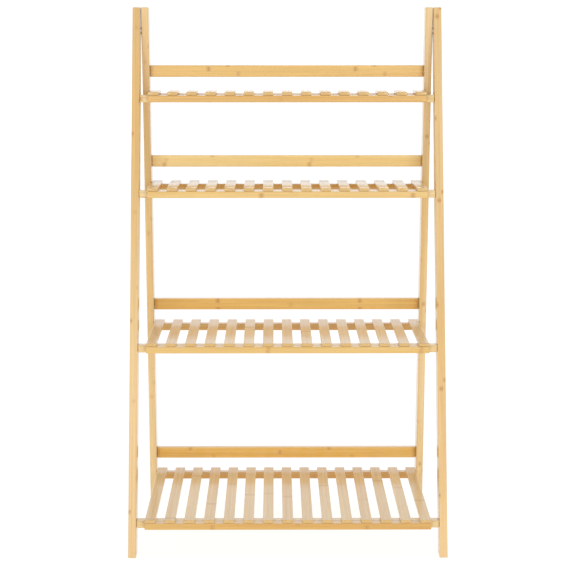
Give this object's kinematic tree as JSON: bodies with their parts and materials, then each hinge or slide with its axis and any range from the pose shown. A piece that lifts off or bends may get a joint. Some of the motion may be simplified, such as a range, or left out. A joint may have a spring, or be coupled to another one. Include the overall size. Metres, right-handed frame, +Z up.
{
  "type": "ladder shelf",
  "caption": "Free-standing folding ladder shelf of bamboo bars: an upright rear frame, a leaning front frame, and slatted shelves that hinge up so that it folds flat.",
  "frame": {"origin": "on the floor, under the middle of the frame's width and depth", "axes": "+X to the right of a person facing the front, +Y from the front to the back, +Z up"},
  "size_m": [0.6, 0.3167, 1.015],
  "materials": {
    "leg_bamboo": "clear satin lacquer on golden bamboo, straight grain with darker node bands",
    "post_bamboo": "clear satin lacquer, straight grain, a little deeper than the legs",
    "rail_bamboo": "clear satin lacquer, golden, fine lengthways fibres and darker node bands",
    "slat_bamboo": "pale satin bamboo with fine lengthways fibres and faint node bands",
    "steel": "zinc-plated, satin"
  },
  "bodies": {
    "rear_frame": {"rear_post_left": "post_bamboo", "rear_post_right": "post_bamboo", "back_rail_1": "rail_bamboo", "back_rail_2": "rail_bamboo", "back_rail_3": "rail_bamboo", "back_rail_4": "rail_bamboo", "leg_bolt_left": "steel", "leg_bolt_right": "steel"},
    "front_frame": {"front_leg_left": "leg_bamboo", "front_leg_right": "leg_bamboo", "crossbar_1": "rail_bamboo", "crossbar_2": "rail_bamboo", "crossbar_3": "rail_bamboo", "crossbar_4": "rail_bamboo"},
    "shelf_1": {"shelf_1_deck": "slat_bamboo", "shelf_1_apron": "rail_bamboo", "shelf_1_pin_left": "steel", "shelf_1_pin_right": "steel"},
    "shelf_2": {"shelf_2_deck": "slat_bamboo", "shelf_2_apron": "rail_bamboo", "shelf_2_pin_left": "steel", "shelf_2_pin_right": "steel"},
    "shelf_3": {"shelf_3_rear_rail": "rail_bamboo", "shelf_3_apron": "rail_bamboo", "shelf_3_slat_01": "slat_bamboo", "shelf_3_slat_02": "slat_bamboo", "shelf_3_slat_03": "slat_bamboo", "shelf_3_slat_04": "slat_bamboo", "shelf_3_slat_05": "slat_bamboo", "shelf_3_slat_06": "slat_bamboo", "shelf_3_slat_07": "slat_bamboo", "shelf_3_slat_08": "slat_bamboo", "shelf_3_slat_09": "slat_bamboo", "shelf_3_slat_10": "slat_bamboo", "shelf_3_slat_11": "slat_bamboo", "shelf_3_slat_12": "slat_bamboo", "shelf_3_slat_13": "slat_bamboo", "shelf_3_slat_14": "slat_bamboo", "shelf_3_slat_15": "slat_bamboo", "shelf_3_pin_left": "steel", "shelf_3_pin_right": "steel"},
    "shelf_4": {"shelf_4_rear_rail": "rail_bamboo", "shelf_4_apron": "rail_bamboo", "shelf_4_slat_01": "slat_bamboo", "shelf_4_slat_02": "slat_bamboo", "shelf_4_slat_03": "slat_bamboo", "shelf_4_slat_04": "slat_bamboo", "shelf_4_slat_05": "slat_bamboo", "shelf_4_slat_06": "slat_bamboo", "shelf_4_slat_07": "slat_bamboo", "shelf_4_slat_08": "slat_bamboo", "shelf_4_slat_09": "slat_bamboo", "shelf_4_slat_10": "slat_bamboo", "shelf_4_slat_11": "slat_bamboo", "shelf_4_slat_12": "slat_bamboo", "shelf_4_slat_13": "slat_bamboo", "shelf_4_slat_14": "slat_bamboo", "shelf_4_slat_15": "slat_bamboo", "shelf_4_pin_left": "steel", "shelf_4_pin_right": "steel"}
  },
  "joints": [
    {"name": "front_frame_fold", "type": "hinge", "parent": "rear_frame", "child": "front_frame", "pos_m": [0, 0.1345, 0.97], "axis": [1, 0, 0], "range_deg": [0, 12.5]},
    {"name": "shelf_1_lift", "type": "hinge", "parent": "rear_frame", "child": "shelf_1", "pos_m": [0, 0.1335, 0.8417], "axis": [-1, 0, 0], "range_deg": [0, 87.5]},
    {"name": "shelf_2_lift", "type": "hinge", "parent": "rear_frame", "child": "shelf_2", "pos_m": [0, 0.1335, 0.6627], "axis": [-1, 0, 0], "range_deg": [0, 87.5]},
    {"name": "shelf_3_lift", "type": "hinge", "parent": "rear_frame", "child": "shelf_3", "pos_m": [0, 0.1335, 0.3772], "axis": [-1, 0, 0], "range_deg": [0, 87.5]},
    {"name": "shelf_4_lift", "type": "hinge", "parent": "rear_frame", "child": "shelf_4", "pos_m": [0, 0.1335, 0.0597], "axis": [-1, 0, 0], "range_deg": [0, 87.5]}
  ],
  "couplings": [
    {"joint": "shelf_1_lift", "follows": "front_frame_fold", "ratio": 7},
    {"joint": "shelf_2_lift", "follows": "front_frame_fold", "ratio": 7},
    {"joint": "shelf_3_lift", "follows": "front_frame_fold", "ratio": 7},
    {"joint": "shelf_4_lift", "follows": "front_frame_fold", "ratio": 7}
  ]
}
